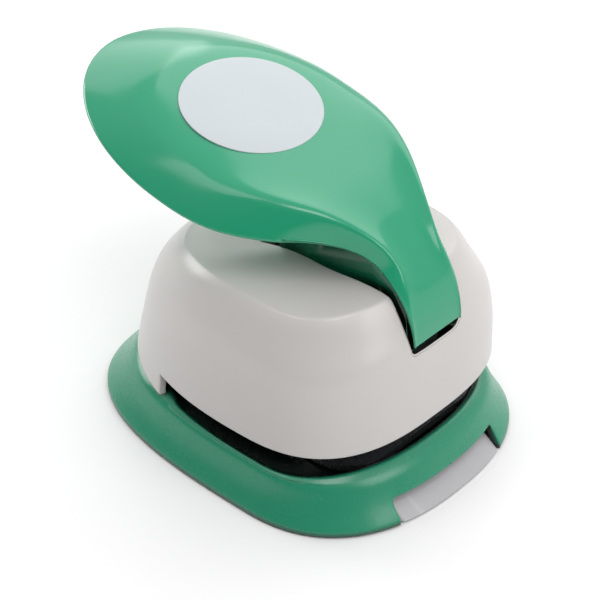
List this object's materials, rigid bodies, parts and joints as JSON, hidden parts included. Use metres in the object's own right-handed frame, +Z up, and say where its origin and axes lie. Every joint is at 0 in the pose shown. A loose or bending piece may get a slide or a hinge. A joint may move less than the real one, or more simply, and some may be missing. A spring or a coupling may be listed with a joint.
{
  "type": "circle craft punch",
  "caption": "Lever paper punch that cuts a circle: flared base with a chip tray, domed cover, long teardrop lever, steel die and cutter with return springs.",
  "frame": {"origin": "centre of the whole punch's bounding box, on the surface that it stands on", "axes": "+X towards the side where the paper goes in, +Y to the right of someone who looks along +X, +Z up"},
  "size_m": [0.1244, 0.0882, 0.0937],
  "materials": {
    "green_abs": "glossy moulded ABS",
    "grey_abs": "glossy moulded ABS, light warm grey",
    "tray_abs": "satin moulded plastic, mid grey",
    "pale_vinyl": "plain pale disc",
    "ground_steel": "ground",
    "zinc_casting": "die-cast zinc, as cast",
    "spring_steel": "drawn wire and plated screws",
    "dark_acetal": "moulded acetal",
    "black_rubber": "matt"
  },
  "bodies": {
    "housing": {"base_shell": "green_abs", "housing_cover": "grey_abs", "die_plate": "ground_steel", "throat_spacer": "dark_acetal", "guide_frame": "zinc_casting", "guide_post_left": "ground_steel", "guide_post_right": "ground_steel", "return_spring_left": "spring_steel", "return_spring_right": "spring_steel", "pivot_pin": "ground_steel", "pin_clip_left": "spring_steel", "pin_clip_right": "spring_steel", "base_screw_1": "spring_steel", "base_screw_2": "spring_steel", "base_screw_3": "spring_steel", "base_screw_4": "spring_steel", "cover_screw_left": "spring_steel", "cover_screw_right": "spring_steel", "rubber_foot_1": "black_rubber", "rubber_foot_2": "black_rubber", "rubber_foot_3": "black_rubber", "rubber_foot_4": "black_rubber"},
    "lever_body": {"lever": "green_abs", "shape_label": "pale_vinyl"},
    "cutter_body": {"cutter": "ground_steel", "pusher": "dark_acetal"},
    "tray_body": {"chip_tray": "tray_abs"}
  },
  "joints": [
    {"name": "lever_press", "type": "hinge", "parent": "housing", "child": "lever_body", "pos_m": [0.04438, 0, 0.0505], "axis": [0, -1, 0], "range_deg": [0, 16.3], "stiffness_Nm_per_rad": 1.2, "springref_deg": -8.02},
    {"name": "cutter_press", "type": "slide", "parent": "housing", "child": "cutter_body", "axis": [0, 0, -1], "range_m": [0, 0.008], "deforming": ["return_spring_left", "return_spring_right"]},
    {"name": "tray_slide", "type": "slide", "parent": "housing", "child": "tray_body", "axis": [1, 0, 0], "range_m": [0, 0.045]}
  ],
  "couplings": [
    {"joint": "cutter_press", "follows": "lever_press", "m_per_rad": 0.028}
  ]
}
